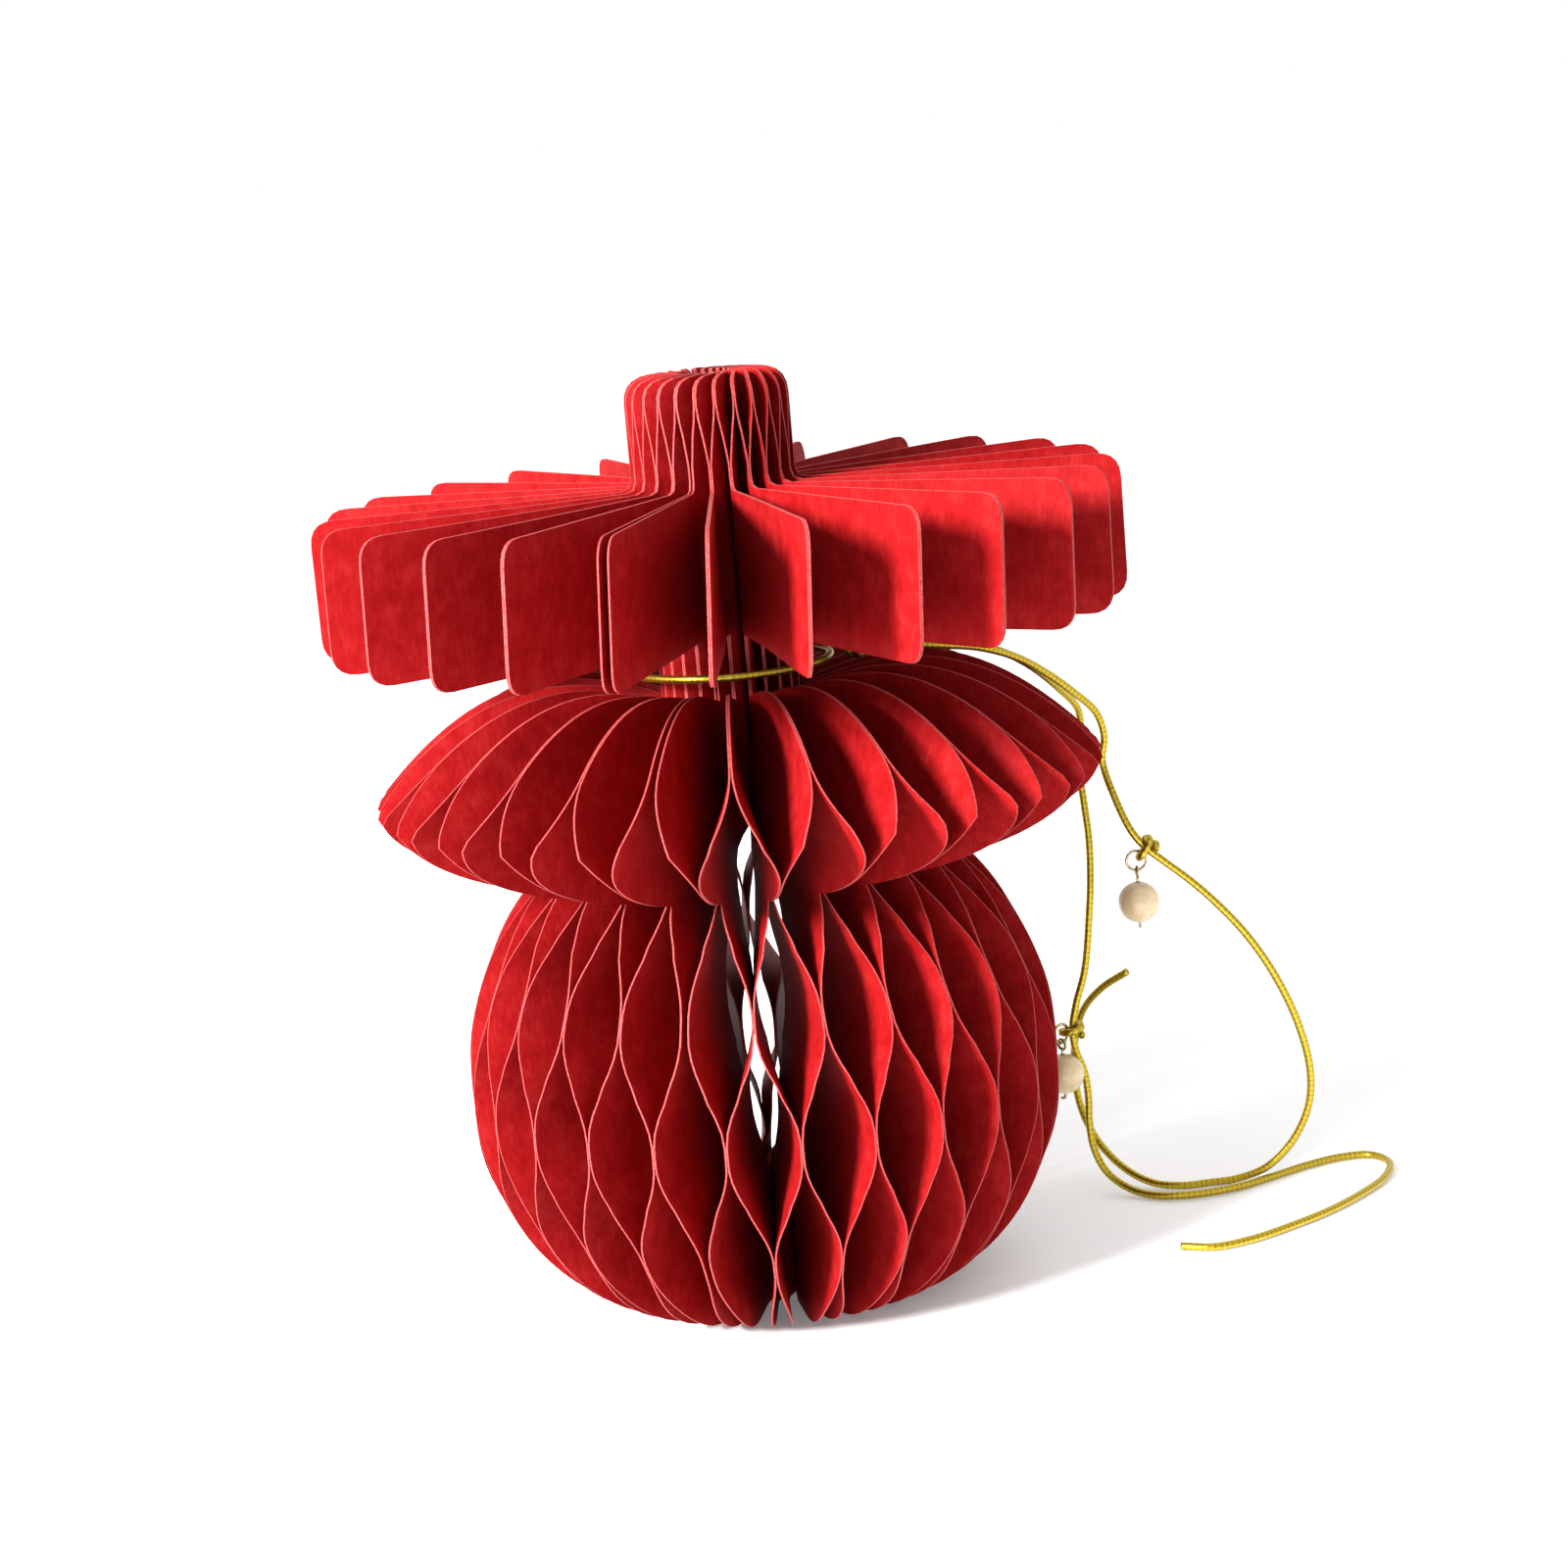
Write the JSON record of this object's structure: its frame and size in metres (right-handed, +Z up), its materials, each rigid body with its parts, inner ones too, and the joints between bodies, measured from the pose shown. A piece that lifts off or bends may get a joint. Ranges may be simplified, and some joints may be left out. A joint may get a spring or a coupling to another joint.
{
  "type": "honeycomb paper lantern ornament",
  "caption": "Free-standing honeycomb paper ornament with crown, wide brim, lens tier and ball tier, a cord tied round its neck and a bead pendant on each cord tail.",
  "frame": {"origin": "on the centre line, at the flat base the ornament stands on", "axes": "+Z up along the centre line, -Y towards the front, +X to the right"},
  "size_m": [0.196, 0.1463, 0.1711],
  "materials": {
    "paper": "matte dyed tissue",
    "cord": "braided metallic thread",
    "wire": "bright plated wire",
    "pearl": "pearl gloss"
  },
  "bodies": {
    "standing_leaf": {"leaf_24": "paper", "neck_cord": "cord", "neck_knot": "cord", "cord_tail_1": "cord", "cord_tail_2": "cord", "knot_1": "cord", "knot_2": "cord"},
    "leaf_01": {"leaf_01": "paper"},
    "leaf_02": {"leaf_02": "paper"},
    "leaf_03": {"leaf_03": "paper"},
    "leaf_04": {"leaf_04": "paper"},
    "leaf_05": {"leaf_05": "paper"},
    "leaf_06": {"leaf_06": "paper"},
    "leaf_07": {"leaf_07": "paper"},
    "leaf_08": {"leaf_08": "paper"},
    "leaf_09": {"leaf_09": "paper"},
    "leaf_10": {"leaf_10": "paper"},
    "leaf_11": {"leaf_11": "paper"},
    "leaf_12": {"leaf_12": "paper"},
    "leaf_13": {"leaf_13": "paper"},
    "leaf_14": {"leaf_14": "paper"},
    "leaf_15": {"leaf_15": "paper"},
    "leaf_16": {"leaf_16": "paper"},
    "leaf_17": {"leaf_17": "paper"},
    "leaf_18": {"leaf_18": "paper"},
    "leaf_19": {"leaf_19": "paper"},
    "leaf_20": {"leaf_20": "paper"},
    "leaf_21": {"leaf_21": "paper"},
    "leaf_22": {"leaf_22": "paper"},
    "leaf_23": {"leaf_23": "paper"},
    "leaf_25": {"leaf_25": "paper"},
    "leaf_26": {"leaf_26": "paper"},
    "leaf_27": {"leaf_27": "paper"},
    "leaf_28": {"leaf_28": "paper"},
    "leaf_29": {"leaf_29": "paper"},
    "leaf_30": {"leaf_30": "paper"},
    "leaf_31": {"leaf_31": "paper"},
    "leaf_32": {"leaf_32": "paper"},
    "leaf_33": {"leaf_33": "paper"},
    "leaf_34": {"leaf_34": "paper"},
    "leaf_35": {"leaf_35": "paper"},
    "leaf_36": {"leaf_36": "paper"},
    "leaf_37": {"leaf_37": "paper"},
    "leaf_38": {"leaf_38": "paper"},
    "leaf_39": {"leaf_39": "paper"},
    "leaf_40": {"leaf_40": "paper"},
    "leaf_41": {"leaf_41": "paper"},
    "leaf_42": {"leaf_42": "paper"},
    "leaf_43": {"leaf_43": "paper"},
    "leaf_44": {"leaf_44": "paper"},
    "leaf_45": {"leaf_45": "paper"},
    "leaf_46": {"leaf_46": "paper"},
    "leaf_47": {"leaf_47": "paper"},
    "leaf_48": {"leaf_48": "paper"},
    "pendant_1": {"jump_ring_1": "wire", "eye_pin_1": "wire", "pearl_1": "pearl"},
    "pendant_2": {"jump_ring_2": "wire", "eye_pin_2": "wire", "pearl_2": "pearl"}
  },
  "joints": [
    {"name": "leaf_01_fold", "type": "hinge", "parent": "standing_leaf", "child": "leaf_01", "pos_m": [0.00356, -0.00098, 0.085], "axis": [0, 0, 1], "range_deg": [0, 172.5]},
    {"name": "leaf_02_fold", "type": "hinge", "parent": "standing_leaf", "child": "leaf_02", "pos_m": [0.00347, -0.00074, 0.085], "axis": [0, 0, 1], "range_deg": [0, 165.75]},
    {"name": "leaf_03_fold", "type": "hinge", "parent": "standing_leaf", "child": "leaf_03", "pos_m": [0.00338, -0.00051, 0.085], "axis": [0, 0, 1], "range_deg": [0, 158.97]},
    {"name": "leaf_04_fold", "type": "hinge", "parent": "standing_leaf", "child": "leaf_04", "pos_m": [0.00328, -0.0003, 0.085], "axis": [0, 0, 1], "range_deg": [0, 152.16]},
    {"name": "leaf_05_fold", "type": "hinge", "parent": "standing_leaf", "child": "leaf_05", "pos_m": [0.00318, -0.0001, 0.085], "axis": [0, 0, 1], "range_deg": [0, 145.31]},
    {"name": "leaf_06_fold", "type": "hinge", "parent": "standing_leaf", "child": "leaf_06", "pos_m": [0.00308, 0.00009, 0.085], "axis": [0, 0, 1], "range_deg": [0, 138.41]},
    {"name": "leaf_07_fold", "type": "hinge", "parent": "standing_leaf", "child": "leaf_07", "pos_m": [0.00297, 0.00027, 0.085], "axis": [0, 0, 1], "range_deg": [0, 131.44]},
    {"name": "leaf_08_fold", "type": "hinge", "parent": "standing_leaf", "child": "leaf_08", "pos_m": [0.00286, 0.00044, 0.085], "axis": [0, 0, 1], "range_deg": [0, 124.39]},
    {"name": "leaf_09_fold", "type": "hinge", "parent": "standing_leaf", "child": "leaf_09", "pos_m": [0.00275, 0.0006, 0.085], "axis": [0, 0, 1], "range_deg": [0, 117.27]},
    {"name": "leaf_10_fold", "type": "hinge", "parent": "standing_leaf", "child": "leaf_10", "pos_m": [0.00263, 0.00075, 0.085], "axis": [0, 0, 1], "range_deg": [0, 110.05]},
    {"name": "leaf_11_fold", "type": "hinge", "parent": "standing_leaf", "child": "leaf_11", "pos_m": [0.00251, 0.00089, 0.085], "axis": [0, 0, 1], "range_deg": [0, 102.75]},
    {"name": "leaf_12_fold", "type": "hinge", "parent": "standing_leaf", "child": "leaf_12", "pos_m": [0.00239, 0.00102, 0.085], "axis": [0, 0, 1], "range_deg": [0, 95.34]},
    {"name": "leaf_13_fold", "type": "hinge", "parent": "standing_leaf", "child": "leaf_13", "pos_m": [0.00226, 0.00115, 0.085], "axis": [0, 0, 1], "range_deg": [0, 87.84]},
    {"name": "leaf_14_fold", "type": "hinge", "parent": "standing_leaf", "child": "leaf_14", "pos_m": [0.00213, 0.00127, 0.085], "axis": [0, 0, 1], "range_deg": [0, 80.25]},
    {"name": "leaf_15_fold", "type": "hinge", "parent": "standing_leaf", "child": "leaf_15", "pos_m": [0.002, 0.00138, 0.085], "axis": [0, 0, 1], "range_deg": [0, 72.55]},
    {"name": "leaf_16_fold", "type": "hinge", "parent": "standing_leaf", "child": "leaf_16", "pos_m": [0.00187, 0.00149, 0.085], "axis": [0, 0, 1], "range_deg": [0, 64.77]},
    {"name": "leaf_17_fold", "type": "hinge", "parent": "standing_leaf", "child": "leaf_17", "pos_m": [0.00174, 0.00159, 0.085], "axis": [0, 0, 1], "range_deg": [0, 56.89]},
    {"name": "leaf_18_fold", "type": "hinge", "parent": "standing_leaf", "child": "leaf_18", "pos_m": [0.0016, 0.00168, 0.085], "axis": [0, 0, 1], "range_deg": [0, 48.94]},
    {"name": "leaf_19_fold", "type": "hinge", "parent": "standing_leaf", "child": "leaf_19", "pos_m": [0.00146, 0.00176, 0.085], "axis": [0, 0, 1], "range_deg": [0, 40.91]},
    {"name": "leaf_20_fold", "type": "hinge", "parent": "standing_leaf", "child": "leaf_20", "pos_m": [0.00132, 0.00184, 0.085], "axis": [0, 0, 1], "range_deg": [0, 32.81]},
    {"name": "leaf_21_fold", "type": "hinge", "parent": "standing_leaf", "child": "leaf_21", "pos_m": [0.00117, 0.00192, 0.085], "axis": [0, 0, 1], "range_deg": [0, 24.66]},
    {"name": "leaf_22_fold", "type": "hinge", "parent": "standing_leaf", "child": "leaf_22", "pos_m": [0.00103, 0.00198, 0.085], "axis": [0, 0, 1], "range_deg": [0, 16.47]},
    {"name": "leaf_23_fold", "type": "hinge", "parent": "standing_leaf", "child": "leaf_23", "pos_m": [0.00088, 0.00205, 0.085], "axis": [0, 0, 1], "range_deg": [0, 8.24]},
    {"name": "leaf_25_fold", "type": "hinge", "parent": "standing_leaf", "child": "leaf_25", "pos_m": [0.00058, 0.00215, 0.085], "axis": [0, 0, 1], "range_deg": [-8.25, 0]},
    {"name": "leaf_26_fold", "type": "hinge", "parent": "standing_leaf", "child": "leaf_26", "pos_m": [0.00042, 0.00219, 0.085], "axis": [0, 0, 1], "range_deg": [-16.5, 0]},
    {"name": "leaf_27_fold", "type": "hinge", "parent": "standing_leaf", "child": "leaf_27", "pos_m": [0.00026, 0.00223, 0.085], "axis": [0, 0, 1], "range_deg": [-24.72, 0]},
    {"name": "leaf_28_fold", "type": "hinge", "parent": "standing_leaf", "child": "leaf_28", "pos_m": [0.00011, 0.00226, 0.085], "axis": [0, 0, 1], "range_deg": [-32.91, 0]},
    {"name": "leaf_29_fold", "type": "hinge", "parent": "standing_leaf", "child": "leaf_29", "pos_m": [-0.00006, 0.00228, 0.085], "axis": [0, 0, 1], "range_deg": [-41.06, 0]},
    {"name": "leaf_30_fold", "type": "hinge", "parent": "standing_leaf", "child": "leaf_30", "pos_m": [-0.00022, 0.0023, 0.085], "axis": [0, 0, 1], "range_deg": [-49.16, 0]},
    {"name": "leaf_31_fold", "type": "hinge", "parent": "standing_leaf", "child": "leaf_31", "pos_m": [-0.00038, 0.00231, 0.085], "axis": [0, 0, 1], "range_deg": [-57.19, 0]},
    {"name": "leaf_32_fold", "type": "hinge", "parent": "standing_leaf", "child": "leaf_32", "pos_m": [-0.00055, 0.00231, 0.085], "axis": [0, 0, 1], "range_deg": [-65.14, 0]},
    {"name": "leaf_33_fold", "type": "hinge", "parent": "standing_leaf", "child": "leaf_33", "pos_m": [-0.00072, 0.00231, 0.085], "axis": [0, 0, 1], "range_deg": [-73.02, 0]},
    {"name": "leaf_34_fold", "type": "hinge", "parent": "standing_leaf", "child": "leaf_34", "pos_m": [-0.0009, 0.0023, 0.085], "axis": [0, 0, 1], "range_deg": [-80.8, 0]},
    {"name": "leaf_35_fold", "type": "hinge", "parent": "standing_leaf", "child": "leaf_35", "pos_m": [-0.00107, 0.00228, 0.085], "axis": [0, 0, 1], "range_deg": [-88.5, 0]},
    {"name": "leaf_36_fold", "type": "hinge", "parent": "standing_leaf", "child": "leaf_36", "pos_m": [-0.00125, 0.00226, 0.085], "axis": [0, 0, 1], "range_deg": [-96.09, 0]},
    {"name": "leaf_37_fold", "type": "hinge", "parent": "standing_leaf", "child": "leaf_37", "pos_m": [-0.00143, 0.00223, 0.085], "axis": [0, 0, 1], "range_deg": [-103.59, 0]},
    {"name": "leaf_38_fold", "type": "hinge", "parent": "standing_leaf", "child": "leaf_38", "pos_m": [-0.00161, 0.00219, 0.085], "axis": [0, 0, 1], "range_deg": [-111, 0]},
    {"name": "leaf_39_fold", "type": "hinge", "parent": "standing_leaf", "child": "leaf_39", "pos_m": [-0.0018, 0.00214, 0.085], "axis": [0, 0, 1], "range_deg": [-118.3, 0]},
    {"name": "leaf_40_fold", "type": "hinge", "parent": "standing_leaf", "child": "leaf_40", "pos_m": [-0.00199, 0.00208, 0.085], "axis": [0, 0, 1], "range_deg": [-125.52, 0]},
    {"name": "leaf_41_fold", "type": "hinge", "parent": "standing_leaf", "child": "leaf_41", "pos_m": [-0.00218, 0.00202, 0.085], "axis": [0, 0, 1], "range_deg": [-132.64, 0]},
    {"name": "leaf_42_fold", "type": "hinge", "parent": "standing_leaf", "child": "leaf_42", "pos_m": [-0.00237, 0.00194, 0.085], "axis": [0, 0, 1], "range_deg": [-139.69, 0]},
    {"name": "leaf_43_fold", "type": "hinge", "parent": "standing_leaf", "child": "leaf_43", "pos_m": [-0.00257, 0.00186, 0.085], "axis": [0, 0, 1], "range_deg": [-146.66, 0]},
    {"name": "leaf_44_fold", "type": "hinge", "parent": "standing_leaf", "child": "leaf_44", "pos_m": [-0.00278, 0.00176, 0.085], "axis": [0, 0, 1], "range_deg": [-153.56, 0]},
    {"name": "leaf_45_fold", "type": "hinge", "parent": "standing_leaf", "child": "leaf_45", "pos_m": [-0.00298, 0.00165, 0.085], "axis": [0, 0, 1], "range_deg": [-160.41, 0]},
    {"name": "leaf_46_fold", "type": "hinge", "parent": "standing_leaf", "child": "leaf_46", "pos_m": [-0.0032, 0.00153, 0.085], "axis": [0, 0, 1], "range_deg": [-167.22, 0]},
    {"name": "leaf_47_fold", "type": "hinge", "parent": "standing_leaf", "child": "leaf_47", "pos_m": [-0.00341, 0.00139, 0.085], "axis": [0, 0, 1], "range_deg": [-174, 0]},
    {"name": "leaf_48_fold", "type": "hinge", "parent": "standing_leaf", "child": "leaf_48", "pos_m": [-0.00364, 0.00123, 0.085], "axis": [0, 0, 1], "range_deg": [-180.75, 0]},
    {"name": "pendant_1_swing", "type": "hinge", "parent": "standing_leaf", "child": "pendant_1", "pos_m": [0.07497, 0.02, 0.0699], "axis": [0, 1, 0], "range_deg": [-18, 18]},
    {"name": "pendant_2_swing", "type": "hinge", "parent": "standing_leaf", "child": "pendant_2", "pos_m": [0.05912, 0.02859, 0.034], "axis": [-0.6, 0.8, 0], "range_deg": [0, 15]}
  ],
  "couplings": [
    {"joint": "leaf_02_fold", "follows": "leaf_01_fold", "ratio": 0.96083},
    {"joint": "leaf_03_fold", "follows": "leaf_01_fold", "ratio": 0.92155},
    {"joint": "leaf_04_fold", "follows": "leaf_01_fold", "ratio": 0.88208},
    {"joint": "leaf_05_fold", "follows": "leaf_01_fold", "ratio": 0.84237},
    {"joint": "leaf_06_fold", "follows": "leaf_01_fold", "ratio": 0.80234},
    {"joint": "leaf_07_fold", "follows": "leaf_01_fold", "ratio": 0.76193},
    {"joint": "leaf_08_fold", "follows": "leaf_01_fold", "ratio": 0.7211},
    {"joint": "leaf_09_fold", "follows": "leaf_01_fold", "ratio": 0.67979},
    {"joint": "leaf_10_fold", "follows": "leaf_01_fold", "ratio": 0.63798},
    {"joint": "leaf_11_fold", "follows": "leaf_01_fold", "ratio": 0.59562},
    {"joint": "leaf_12_fold", "follows": "leaf_01_fold", "ratio": 0.55271},
    {"joint": "leaf_13_fold", "follows": "leaf_01_fold", "ratio": 0.50923},
    {"joint": "leaf_14_fold", "follows": "leaf_01_fold", "ratio": 0.46519},
    {"joint": "leaf_15_fold", "follows": "leaf_01_fold", "ratio": 0.42059},
    {"joint": "leaf_16_fold", "follows": "leaf_01_fold", "ratio": 0.37544},
    {"joint": "leaf_17_fold", "follows": "leaf_01_fold", "ratio": 0.3298},
    {"joint": "leaf_18_fold", "follows": "leaf_01_fold", "ratio": 0.28367},
    {"joint": "leaf_19_fold", "follows": "leaf_01_fold", "ratio": 0.23712},
    {"joint": "leaf_20_fold", "follows": "leaf_01_fold", "ratio": 0.1902},
    {"joint": "leaf_21_fold", "follows": "leaf_01_fold", "ratio": 0.14295},
    {"joint": "leaf_22_fold", "follows": "leaf_01_fold", "ratio": 0.095461},
    {"joint": "leaf_23_fold", "follows": "leaf_01_fold", "ratio": 0.047786},
    {"joint": "leaf_25_fold", "follows": "leaf_01_fold", "ratio": -0.047823},
    {"joint": "leaf_26_fold", "follows": "leaf_01_fold", "ratio": -0.095609},
    {"joint": "leaf_27_fold", "follows": "leaf_01_fold", "ratio": -0.14328},
    {"joint": "leaf_28_fold", "follows": "leaf_01_fold", "ratio": -0.19078},
    {"joint": "leaf_29_fold", "follows": "leaf_01_fold", "ratio": -0.23802},
    {"joint": "leaf_30_fold", "follows": "leaf_01_fold", "ratio": -0.28494},
    {"joint": "leaf_31_fold", "follows": "leaf_01_fold", "ratio": -0.33149},
    {"joint": "leaf_32_fold", "follows": "leaf_01_fold", "ratio": -0.37762},
    {"joint": "leaf_33_fold", "follows": "leaf_01_fold", "ratio": -0.42327},
    {"joint": "leaf_34_fold", "follows": "leaf_01_fold", "ratio": -0.46841},
    {"joint": "leaf_35_fold", "follows": "leaf_01_fold", "ratio": -0.51301},
    {"joint": "leaf_36_fold", "follows": "leaf_01_fold", "ratio": -0.55706},
    {"joint": "leaf_37_fold", "follows": "leaf_01_fold", "ratio": -0.60054},
    {"joint": "leaf_38_fold", "follows": "leaf_01_fold", "ratio": -0.64345},
    {"joint": "leaf_39_fold", "follows": "leaf_01_fold", "ratio": -0.6858},
    {"joint": "leaf_40_fold", "follows": "leaf_01_fold", "ratio": -0.72762},
    {"joint": "leaf_41_fold", "follows": "leaf_01_fold", "ratio": -0.76892},
    {"joint": "leaf_42_fold", "follows": "leaf_01_fold", "ratio": -0.80976},
    {"joint": "leaf_43_fold", "follows": "leaf_01_fold", "ratio": -0.85016},
    {"joint": "leaf_44_fold", "follows": "leaf_01_fold", "ratio": -0.89019},
    {"joint": "leaf_45_fold", "follows": "leaf_01_fold", "ratio": -0.92991},
    {"joint": "leaf_46_fold", "follows": "leaf_01_fold", "ratio": -0.96937},
    {"joint": "leaf_47_fold", "follows": "leaf_01_fold", "ratio": -1.0087},
    {"joint": "leaf_48_fold", "follows": "leaf_01_fold", "ratio": -1.0478}
  ]
}
